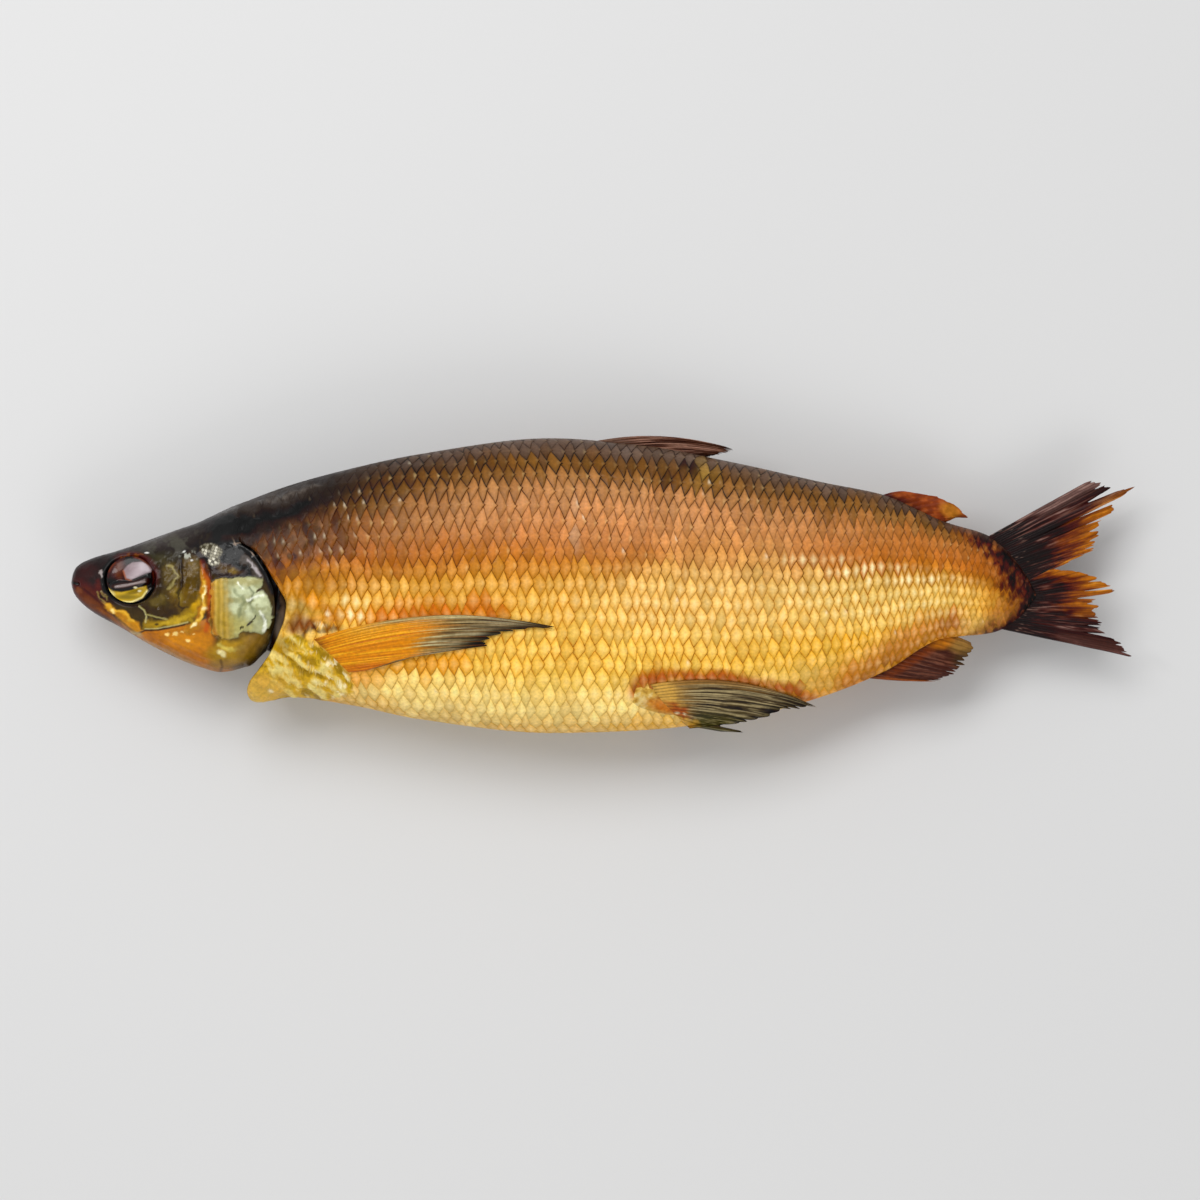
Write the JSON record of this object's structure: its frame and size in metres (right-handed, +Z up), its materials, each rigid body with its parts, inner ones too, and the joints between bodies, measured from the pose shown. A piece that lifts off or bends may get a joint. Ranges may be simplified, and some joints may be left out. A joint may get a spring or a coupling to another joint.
{
  "type": "smoked fish",
  "caption": "Whole hot-smoked whitefish with head and fins, lying on its right side, golden-brown scaly skin and a forked, dried tail.",
  "frame": {"origin": "centre of the base of the whole fish's box, on the surface that the fish lies on", "axes": "+X from the snout to the tail, +Y from the belly to the back, +Z up, out of the fish's left side"},
  "size_m": [0.3804, 0.1066, 0.0472],
  "materials": {
    "smoked_skin": "golden-brown smoked skin with glossy, overlapping scales",
    "eye": "dark, moist eyeball",
    "fin": "dried, translucent brown fin rays"
  },
  "bodies": {
    "root": {"fish": "smoked_skin", "eye_left": "eye", "eye_right": "eye"}
  },
  "joints": []
}
